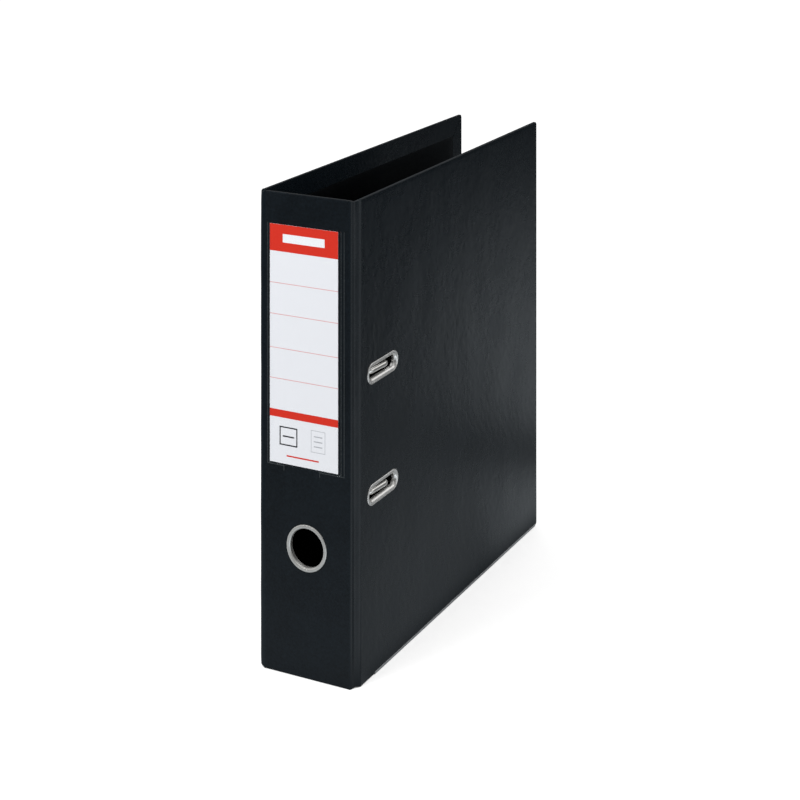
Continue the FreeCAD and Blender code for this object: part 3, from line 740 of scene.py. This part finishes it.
# ---------------------------------------------------------------------------
# foil hinges
# ---------------------------------------------------------------------------
def hinge_strip(name, outer, inner, z_outer, mat, nz=96, seed=3, low=0.6, high=1.0):
    """outer and inner are plan lines from the spine to the cover."""
    o = smooth_profile(outer, 4)
    i = smooth_profile(inner, 4)
    prof = o + i[::-1]
    m = len(prof)
    no = len(o)
    s = np.concatenate([np.linspace(0, 1, len(o)), np.linspace(0, 1, len(i))[::-1]])
    zs = np.linspace(0, 1, nz + 1)
    v = []
    rs = np.random.RandomState(seed)
    ph = rs.uniform(0, 6.28, 4)
    P = np.array(prof)
    mid = P.mean(0)
    for q in zs:
        z0 = z_outer[0][0] + (z_outer[0][1] - z_outer[0][0]) * s
        z1 = z_outer[1][0] + (z_outer[1][1] - z_outer[1][0]) * s
        dip = 0.9 * np.sin(np.pi * s)
        z = (z0 + dip * low) * (1 - q) + (z1 - dip * high) * q
        wob = 0.10 * np.sin(z / 9.0 + ph[0]) + 0.08 * np.sin(z / 23.0 + ph[1]) + 0.05 * np.sin(z / 4.3 + ph[2])
        k = np.sin(np.pi * s) ** 2
        d = (mid - P)
        d = d / np.linalg.norm(d, axis=1)[:, None]
        # the top and bottom ends are pinched together where the foil is folded in
        end = np.exp(-((q * (H) / 3.0) ** 2)) + np.exp(-(((1 - q) * H / 3.0) ** 2))
        p = P + d * (wob * k)[:, None] * 0.5 + (mid - P) * (0.16 * end * k)[:, None]
        v += [(a, b, c) for (a, b), c in zip(p, z)]
    f = []
    for a in range(nz):
        for b in range(m):
            c = (b + 1) % m
            f.append((a * m + b, a * m + c, (a + 1) * m + c, (a + 1) * m + b))
    # end caps as strips between the outer and the inner line
    ni = len(i)
    for base in (0, nz * m):
        for k in range(min(no, ni) - 1):
            f.append((base + k, base + k + 1, base + m - 2 - k, base + m - 1 - k))
    return new_object(name, v, f, mat, 60)


c1 = toe(np.array([(W, Y0F, 0), (W - INNER, Y0F, 0), (W - T, Y0F, 0)]))
front_outer = [(70.0, 0.0), (70.65, 0.12), (71.25, 0.6), (71.65, 1.4), (71.95, 2.4), (72.35, 3.25), (73.0, 4.1), (73.75, 5.0), (74.5, 6.0), (c1[0][0], c1[0][1])]
front_inner = [(70.0, T), (70.14, 2.95), (70.3, 3.45), (70.5, 4.0), (70.72, 4.55), (70.98, 5.1), (71.3, 5.65), (71.7, 6.2), (72.1, 6.65), (c1[2][0], c1[2][1])]
fs = hinge_strip("front_hinge_foil", front_outer, front_inner, ((0.0, 0.35), (H, H)), M_FOIL, low=0.8, high=1.15)
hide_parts("front_hinge_strip")
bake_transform(fs)
back_outer = [(5.0, 0.0), (4.1, -0.02), (3.2, 0.02), (2.35, 0.14), (1.6, 0.44), (0.95, 0.95), (0.44, 1.6), (0.14, 2.35), (0.0, 3.4), (0.0, 4.5)]
back_inner = [(5.0, T), (4.72, 2.56), (4.42, 2.66), (4.1, 2.82), (3.78, 3.02), (3.46, 3.26), (3.16, 3.54), (2.88, 3.85), (2.64, 4.18), (T, 4.5)]
bs = hinge_strip("back_hinge_foil", back_outer, back_inner, ((0.0, 0.35), (H, H)), M_FOIL, seed=8, low=1.7, high=1.6)
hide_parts("back_hinge_strip")
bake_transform(bs)

# ---------------------------------------------------------------------------
# label pocket: film sheet and the welds round it
# ---------------------------------------------------------------------------
def film_warp(co):
    x, z, t = co[:, 0], co[:, 1], co[:, 2]
    k = np.clip((x - 8.4) / 5.0, 0, 1) * np.clip((64.0 - x) / 5.0, 0, 1)
    co[:, 2] = t - k * (0.02 + 0.02 * smoothnoise(x, z, 77, 30.0, 60.0)) - 0.10 * k * np.clip((z - 292.0) / 6.0, 0, 1) ** 2
    return co


film = slab("label_pocket_film", (8.2, 64.2), (137.6, 297.5), (-0.44, -0.33), lambda x, z, t: (x, t, z), rims=("v1",), r=0.04, seg=2,
            corner=0, cell=4.0, warp=film_warp, mat=M_FILM)
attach(film, "spine"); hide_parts("label_pocket")


def ridge(pts, w, h, y0=0.02):
    """A low rounded ridge along a line in the spine's face; pts are (x, z)."""
    prof = [(-w / 2, 0.0), (-w * 0.42, -h * 0.6), (-w * 0.2, -h * 0.95), (0, -h), (w * 0.2, -h * 0.95), (w * 0.42, -h * 0.6), (w / 2, 0.0)]
    v, f = [], []
    m = len(prof)
    n = len(pts)
    for k, (x, z) in enumerate(pts):
        a = pts[max(k - 1, 0)]
        b = pts[min(k + 1, n - 1)]
        d = np.array([b[0] - a[0], b[1] - a[1]], float)
        d /= np.linalg.norm(d)
        nx, nz = -d[1], d[0]
        v += [(x + nx * s, y0 + y, z + nz * s) for s, y in prof]
    for k in range(n - 1):
        for j in range(m - 1):
            f.append((k * m + j, k * m + j + 1, (k + 1) * m + j + 1, (k + 1) * m + j))
        f.append((k * m + m - 1, k * m, (k + 1) * m, (k + 1) * m + m - 1))
    f.append(tuple(range(m)))
    f.append(tuple(range(n * m - 1, (n - 1) * m - 1, -1)))
    return new_object("ridge", v, f, M_WELD, 60)


def line(a, b, step=4.0):
    n = max(2, int(math.hypot(b[0] - a[0], b[1] - a[1]) / step))
    return [(a[0] + (b[0] - a[0]) * k / n, a[1] + (b[1] - a[1]) * k / n) for k in range(n + 1)]


ridges = []
for x in (7.05, 8.35, 64.05, 66.35):
    ridges.append(ridge(line((x, 137.2), (x, 297.4)), 0.55, 0.30))
ridges.append(ridge(line((7.05, 137.35), (19.8, 137.35)), 0.55, 0.30))
ridges.append(ridge(line((47.7, 137.35), (66.35, 137.35)), 0.55, 0.30))
ridges.append(ridge(line((8.35, 138.4), (19.8, 138.4)), 0.4, 0.30))
ridges.append(ridge(line((47.7, 138.4), (64.05, 138.4)), 0.4, 0.30))
ridges.append(ridge(line((19.8, 138.4), (19.8, 134.2), 1.0), 0.5, 0.28))
ridges.append(ridge(line((47.7, 138.4), (47.7, 134.2), 1.0), 0.5, 0.28))
welds = join("label_pocket_welds", ridges, M_WELD)
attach(welds, "spine")

# ---------------------------------------------------------------------------
# finger ring
# ---------------------------------------------------------------------------
ring_prof = smooth_profile([(15.45, -0.02), (15.4, -0.42), (15.15, -0.74), (14.65, -0.92), (14.0, -0.93), (13.45, -0.72), (13.05, -0.36), (12.82, 0.08), (12.77, 0.4), (12.84, 0.66)], 5)
ring_prof += [(13.0, 0.86), (13.1, 1.15), (13.12, 3.0), (13.2, 3.12), (13.32, 3.12), (13.32, 0.02)]
ring = lathe_y("finger_ring_lip", ring_prof, RING[0], RING[1], M_RING)
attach(ring, "spine"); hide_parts("finger_ring")
wash_prof = smooth_profile([(15.15, T - 0.02), (15.12, T + 0.35), (14.8, T + 0.58), (14.2, T + 0.62), (13.5, T + 0.5), (13.34, T + 0.2)], 4) + [(13.34, T - 0.02)]
wash = lathe_y("finger_ring_inner_washer", wash_prof, RING[0], RING[1], M_RING)
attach(wash, "spine"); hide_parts("finger_ring_washer")

# ---------------------------------------------------------------------------
# slot rims
# ---------------------------------------------------------------------------
rim_prof = smooth_profile([(6.95, W - 0.02), (6.93, W + 0.3), (6.7, W + 0.52), (6.35, W + 0.5), (5.95, W + 0.28), (5.6, W + 0.28), (5.25, W + 0.40), (4.95, W + 0.32), (4.55, W - 0.05), (4.12, W - 0.6), (3.85, W - 1.25)], 4)
rim_prof += [(3.75, W - 2.0), (3.75, W - T - 0.42), (3.9, W - T - 0.52), (4.7, W - T - 0.52), (4.74, W - T), (4.74, W - 0.02)]
in_prof = smooth_profile([(6.72, W - T + 0.02), (6.7, W - T - 0.3), (6.4, W - T - 0.5), (5.8, W - T - 0.52), (5.1, W - T - 0.46), (4.78, W - T - 0.25)], 4) + [(4.76, W - T + 0.02)]
for nm, z in (("upper", 200.0), ("lower", 120.0)):
    o = stadium_sweep(nm + "_slot_rim_pressed", rim_prof, SLOT_Y, z, SLOT_HL, M_RIM)
    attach(o, "front_cover"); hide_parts(nm + "_slot_rim")
    o = stadium_sweep(nm + "_slot_inner_washer", in_prof, SLOT_Y, z, SLOT_HL, M_RIM)
    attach(o, "front_cover"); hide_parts(nm + "_slot_washer")

# ---------------------------------------------------------------------------
# edge shoes
# ---------------------------------------------------------------------------
def shoe(name, body, x0, x1, use_toe):
    s, tk = 0.25, 0.24
    a0, a1 = x0 - s, x1 + s
    outer = [(a0, 1.5), (a0, 0.35), (a0 + 0.08, 0.12), (a0 + 0.3, 0.0), (a1 - 0.3, 0.0), (a1 - 0.08, 0.12), (a1, 0.35), (a1, 1.5)]
    inner = [(a1 - tk, 1.56), (a1 - tk, 0.42), (a1 - tk - 0.12, 0.3), (a0 + tk + 0.12, 0.3), (a0 + tk, 0.42), (a0 + tk, 1.56)]
    prof = outer + inner
    ys = np.concatenate([[25.0, 25.15, 25.5], np.linspace(29, D - 8, 60), [D - 4.2, D - 3.7, D - 3.5]])
    v = []
    cx = (a0 + a1) / 2
    for k, y in enumerate(ys):
        # ends are pinched and filed down, the legs rise and fall a little along the rail
        q = 0.0 if 2 <= k <= len(ys) - 3 else (0.75 if k in (1, len(ys) - 2) else 1.0)
        top = -0.10 * q + 0.05 * math.sin(y / 17.0) + 0.03 * math.sin(y / 5.3)
        for x, z in prof:
            zz = z + (top if z > 1.0 else 0.06 * q)
            v.append((x + (cx - x) * 0.02 * q, y, zz))
    v = np.array(v)
    if use_toe:
        v = toe(v)
    m = len(prof)
    f = loop_faces(len(ys), m, False)
    f.append(tuple(range(m)))
    f.append(tuple(range(len(ys) * m - 1, (len(ys) - 1) * m - 1, -1)))
    o = new_object(name + "_rail", v, f, M_SHOE, 50)
    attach(o, body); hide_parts(name)


shoe("back_edge_shoe", "back_cover", 0.0, T, False)
shoe("front_edge_shoe", "front_cover", W - T, W, True)

# ---------------------------------------------------------------------------
# stage: floor, light, camera
# ---------------------------------------------------------------------------
scene = bpy.context.scene
scene.view_settings.view_transform = "Standard"
scene.view_settings.look = "None"
scene.view_settings.exposure = 0.0
scene.view_settings.gamma = 1.0


def world():
    w = bpy.data.worlds.new("studio")
    scene.world = w
    w.use_nodes = True
    t = w.node_tree
    t.nodes.clear()
    out = t.nodes.new("ShaderNodeOutputWorld")
    tc = t.nodes.new("ShaderNodeTexCoord")
    sep = t.nodes.new("ShaderNodeSeparateXYZ")
    t.links.new(tc.outputs["Generated"], sep.inputs[0])

    def mr(x, a, b, c, d):
        m = t.nodes.new("ShaderNodeMapRange")
        m.interpolation_type = "SMOOTHSTEP"
        t.links.new(x, m.inputs["Value"])
        for k, v in zip(("From Min", "From Max", "To Min", "To Max"), (a, b, c, d)):
            m.inputs[k].default_value = v
        return m.outputs["Result"]

    def mt(op, a, b):
        m = t.nodes.new("ShaderNodeMath")
        m.operation = op
        for i, x in enumerate((a, b)):
            if isinstance(x, (int, float)):
                m.inputs[i].default_value = x
            else:
                t.links.new(x, m.inputs[i])
        return m.outputs[0]
    X, Y, Z = sep.outputs
    up = mr(Z, 0.55, 0.95, 0.0, 0.6)
    # a tall soft box to the right and behind the object, and a weaker one to the left
    right = mt("MULTIPLY", mr(X, 0.35, 0.75, 0.0, 1.0), mr(Y, 0.1, 0.75, 0.0, 0.55))
    left = mt("MULTIPLY", mr(X, -0.5, -0.9, 0.0, 1.0), mr(Z, 0.1, 0.5, 0.2, 0.6))
    right = mt("MULTIPLY", right, mr(Z, 0.05, 0.35, 0.0, 1.0))
    back = mt("MULTIPLY", mt("MULTIPLY", mr(Z, 0.30, 0.48, 0.0, 1.0), mr(Z, 0.75, 0.95, 1.0, 0.3)), mr(Y, 0.3, 0.6, 0.0, 1.0))
    # low and straight out to the right: only a viewer square to the front cover gets its sheen
    east = mt("MULTIPLY", mt("MULTIPLY", mr(X, 0.84, 0.97, 0.0, 1.1), mr(Y, -0.35, 0.30, 0.12, 1.0)), mr(Z, 0.05, 0.42, 1.0, 0.0))
    gl = mt("ADD", mt("ADD", mt("ADD", up, back), right), mt("ADD", mt("ADD", left, east), 0.09))
    lp = t.nodes.new("ShaderNodeLightPath")
    bg_cam = t.nodes.new("ShaderNodeBackground")
    bg_cam.inputs[0].default_value = (1, 1, 1, 1)
    bg_cam.inputs[1].default_value = 1.0
    bg_gl = t.nodes.new("ShaderNodeBackground")
    bg_gl.inputs[0].default_value = (1, 1, 1, 1)
    t.links.new(gl, bg_gl.inputs[1])
    bg_df = t.nodes.new("ShaderNodeBackground")
    bg_df.inputs[0].default_value = (1, 1, 1, 1)
    bg_df.inputs[1].default_value = 0.80
    m1 = t.nodes.new("ShaderNodeMixShader")
    t.links.new(lp.outputs["Is Glossy Ray"], m1.inputs[0])
    t.links.new(bg_df.outputs[0], m1.inputs[1])
    t.links.new(bg_gl.outputs[0], m1.inputs[2])
    m2 = t.nodes.new("ShaderNodeMixShader")
    t.links.new(lp.outputs["Is Camera Ray"], m2.inputs[0])
    t.links.new(m1.outputs[0], m2.inputs[1])
    t.links.new(bg_cam.outputs[0], m2.inputs[2])
    t.links.new(m2.outputs[0], out.inputs[0])


world()


def floor():
    me = bpy.data.meshes.new("floor")
    me.from_pydata([(-12, -12, 0), (12, -12, 0), (12, 12, 0), (-12, 12, 0)], [], [(0, 1, 2, 3)])
    o = bpy.data.objects.new("floor", me)
    scene.collection.objects.link(o)
    g = NT("floor_white")
    geo = g.n("ShaderNodeNewGeometry")
    sep = g.n("ShaderNodeSeparateXYZ")
    g.link(geo.outputs["Position"], sep.inputs[0])
    lp = g.n("ShaderNodeLightPath")
    # seen directly: white with a faint contact shade
    em = g.n("ShaderNodeEmission")
    ao = g.n("ShaderNodeAmbientOcclusion", samples=6)
    ao.inputs["Distance"].default_value = 0.25
    # painted shadow: closed in between the covers the floor's white glow is darkened by ambient occlusion; in the open
    # it stays white
    open_sky = g.maprange(ao.outputs["AO"], 0.12, 0.46, 0.03, 1.0, "SMOOTHSTEP")
    g.link(g.math("MULTIPLY", open_sky, 0.86), em.inputs[1])
    df = g.n("ShaderNodeBsdfDiffuse")
    df.inputs[0].default_value = (0.24, 0.24, 0.24, 1)
    add = g.n("ShaderNodeAddShader")
    g.link(em.outputs[0], add.inputs[0])
    g.link(df.outputs[0], add.inputs[1])
    # seen in reflections: bright close by on the right, falling off into the dark studio
    def gauss(x, c, w):
        q = g.math("DIVIDE", g.math("SUBTRACT", x, c), w)
        return g.math("EXPONENT", g.math("MULTIPLY", g.math("MULTIPLY", q, q), -0.5))
    lx = g.math("SUBTRACT", g.math("MULTIPLY", sep.outputs[0], 1000.0), OX)
    ly = g.math("SUBTRACT", g.math("MULTIPLY", sep.outputs[1], 1000.0), OY)
    v = g.math("DIVIDE", g.math("SUBTRACT", lx, 75.0), 1.363)
    vp = g.math("MAXIMUM", v, -60.0)
    # the place on the front cover, depth yc and height zc, that mirrors this bit of floor to the camera
    yc = g.math("DIVIDE", g.math("SUBTRACT", ly, g.math("MULTIPLY", v, 2.2584)), g.math("ADD", 1.0, g.math("DIVIDE", vp, 454.0)))
    zc = g.math("DIVIDE", g.math("MULTIPLY", vp, 610.5), g.math("ADD", vp, 454.0))
    across = g.math("ADD", g.maprange(yc, 0.0, 110.0, 0.235, 0.285, "SMOOTHSTEP"), g.maprange(yc, 190.0, 282.0, 0.0, 0.66, "SMOOTHSTEP"))
    ends = g.math("MULTIPLY", g.maprange(yc, -170.0, 0.0, 0.0, 1.0, "SMOOTHSTEP"), g.maprange(yc, 320.0, 520.0, 1.0, 0.1, "SMOOTHSTEP"))
    up = g.maprange(zc, 145.0, 312.0, 1.0, 0.02, "SMOOTHSTEP")
    side = g.math("MULTIPLY", g.maprange(zc, 160.0, 290.0, 0.0, 1.0, "SMOOTHSTEP"), g.maprange(yc, 215.0, 262.0, -0.66, 0.42, "SMOOTHSTEP"))
    foot = g.math("MULTIPLY", g.maprange(zc, 132.0, 100.0, 0.0, 0.26, "SMOOTHSTEP"), g.maprange(yc, 215.0, 262.0, 0.0, 1.0, "SMOOTHSTEP"))
    up = g.math("MULTIPLY", up, g.math("SUBTRACT", g.math("ADD", 1.0, side), foot))
    # a soft dark bar across it
    bar = g.math("SUBTRACT", zc, g.math("SUBTRACT", 118.0, g.math("MULTIPLY", g.math("SUBTRACT", yc, 140.0), 0.385)))
    bar = g.math("MULTIPLY", gauss(bar, -3.0, 17.0), g.maprange(yc, 90.0, 175.0, 0.0, 0.68, "SMOOTHSTEP"))
    low = g.math("MULTIPLY", g.maprange(zc, 110.0, 60.0, 0.0, 0.12, "SMOOTHSTEP"), g.maprange(yc, 60.0, 230.0, 1.0, 0.0))
    glow = g.math("MULTIPLY", g.math("MULTIPLY", g.math("ADD", across, low), ends), g.math("MULTIPLY", up, g.math("SUBTRACT", 1.0, bar)))
    outside = g.maprange(lx, 60.0, 90.0, 0.0, 1.0, "SMOOTHSTEP")
    glow = g.math("MULTIPLY", glow, outside)
    # the open floor in front: bright close to the spine, darker further off
    infront = g.maprange(ly, 30.0, -12.0, 0.0, 1.0, "SMOOTHSTEP")
    fl = g.math("MULTIPLY", g.maprange(ly, -50.0, -340.0, 0.43, 0.08, "SMOOTHSTEP"), g.maprange(ly, -340.0, -900.0, 1.0, 0.35, "SMOOTHSTEP"))
    fl = g.math("MULTIPLY", fl, infront)
    away = g.math("SUBTRACT", ly, g.math("MULTIPLY", g.math("SUBTRACT", lx, 75.0), 1.9))
    turn = g.math("DIVIDE", away, g.math("MAXIMUM", g.math("SUBTRACT", lx, 15.0), 20.0))
    fr = g.math("MULTIPLY", g.maprange(turn, -0.65, -1.15, 0.0, 0.50, "SMOOTHSTEP"), g.maprange(lx, 70.0, 110.0, 0.0, 1.0, "SMOOTHSTEP"))
    fr = g.math("MULTIPLY", fr, g.maprange(lx, 600.0, 1500.0, 1.0, 0.25))
    behind = g.math("MULTIPLY", g.maprange(lx, -110.0, -380.0, 0.0, 0.42, "SMOOTHSTEP"), g.maprange(ly, -80.0, 120.0, 0.0, 1.0, "SMOOTHSTEP"))
    # a bright strip straight out to the right, caught by the shoulder of the front hinge
    way = g.math("DIVIDE", ly, g.math("MAXIMUM", g.math("SUBTRACT", lx, 75.0), 5.0))
    strip = g.math("MULTIPLY", g.math("MULTIPLY", gauss(way, -0.03, 0.17), 0.8), g.maprange(lx, 78.0, 130.0, 0.0, 1.0, "SMOOTHSTEP"))
    fr = g.math("ADD", fr, strip)
    # and far out to the right, where it meets the low light of the studio
    east = g.math("MULTIPLY", g.maprange(lx, 1000.0, 2200.0, 0.0, 1.1, "SMOOTHSTEP"), g.maprange(way, -0.35, 0.30, 0.12, 1.0, "SMOOTHSTEP"))
    fr = g.math("ADD", fr, g.math("MULTIPLY", east, g.maprange(way, 0.35, 0.65, 1.0, 0.0, "SMOOTHSTEP")))
    near = g.math("ADD", g.math("ADD", glow, fl), g.math("ADD", g.math("ADD", fr, behind), 0.015))
    near = g.math("MULTIPLY", near, open_sky)
    eg = g.n("ShaderNodeEmission")
    g.link(near, eg.inputs[1])
    eg.inputs[0].default_value = (0.88, 0.95, 1.0, 1)
    # bounce onto diffuse surfaces
    eb = g.n("ShaderNodeEmission")
    g.link(g.math("MULTIPLY", open_sky, 0.55), eb.inputs[1])
    m0 = g.n("ShaderNodeMixShader")
    g.link(lp.outputs["Is Glossy Ray"], m0.inputs[0])
    g.link(eb.outputs[0], m0.inputs[1])
    g.link(eg.outputs[0], m0.inputs[2])
    m1 = g.n("ShaderNodeMixShader")
    g.link(lp.outputs["Is Camera Ray"], m1.inputs[0])
    g.link(m0.outputs[0], m1.inputs[1])
    g.link(add.outputs[0], m1.inputs[2])
    g.link(m1.outputs[0], g.out.inputs["Surface"])
    me.materials.append(g.m)


floor()


def area(name, loc, target, size, power, glossy=False):
    l = bpy.data.lights.new(name, "AREA")
    l.shape = "RECTANGLE"
    l.size, l.size_y = size
    l.energy = power
    o = bpy.data.objects.new(name, l)
    scene.collection.objects.link(o)
    o.location = loc
    o.rotation_mode = "QUATERNION"
    o.rotation_quaternion = (Vector(loc) - Vector(target)).to_track_quat("Z", "Y")
    o.visible_glossy = glossy
    o.visible_camera = False
    return o


area("key_soft", (-0.9, -1.6, 1.5), (0, 0, 0.15), (1.2, 1.2), 61.0)
area("fill_soft", (1.8, 0.4, 1.2), (0, 0, 0.15), (1.4, 1.4), 8.0)

# camera: the photographed view, a level lens with a downward shift
cam_data = bpy.data.cameras.new("camera")
cam = bpy.data.objects.new("camera", cam_data)
scene.collection.objects.link(cam)
scene.camera = cam
cam_data.sensor_fit = "HORIZONTAL"
cam_data.sensor_width = 36.0
cam_data.lens = 82.7126
cam_data.clip_start, cam_data.clip_end = 0.05, 60.0
YAW, ROLL = 0.455113, 0.0
Rv = Vector((math.cos(YAW), math.sin(YAW), 0))
Fv = Vector((-math.sin(YAW), math.cos(YAW), 0))
Uv = Vector((0, 0, 1))
R2 = Rv * math.cos(ROLL) + Uv * math.sin(ROLL)
U2 = -Rv * math.sin(ROLL) + Uv * math.cos(ROLL)
loc = Vector(row((693.821, -1025.271, 610.471)))
mw = Matrix((R2, U2, -Fv)).transposed().to_4x4()
mw.translation = loc
cam.matrix_world = mw
mark = bpy.data.objects.new("camera_home", None)
scene.collection.objects.link(mark)
mark.location = loc


def shift_at_home(prop, value):
    """The lens shift belongs to the home place only: away from it the lens is plain."""
    fc = cam_data.driver_add(prop)
    dr = fc.driver
    dr.type = "SUM"
    v = dr.variables.new()
    v.name = "away"
    v.type = "LOC_DIFF"
    v.targets[0].id = cam
    v.targets[1].id = mark
    for m in list(fc.modifiers):
        fc.modifiers.remove(m)
    while len(fc.keyframe_points):
        fc.keyframe_points.remove(fc.keyframe_points[0], fast=True)
    for x, y in ((0.0, value), (0.05, 0.0)):
        fc.keyframe_points.insert(x, y).interpolation = "LINEAR"
    fc.extrapolation = "CONSTANT"
    fc.update()


shift_at_home("shift_x", (400.0 - 517.679) / 800.0)
shift_at_home("shift_y", (-248.816 - 400.0) / 800.0)
bpy.context.view_layer.update()
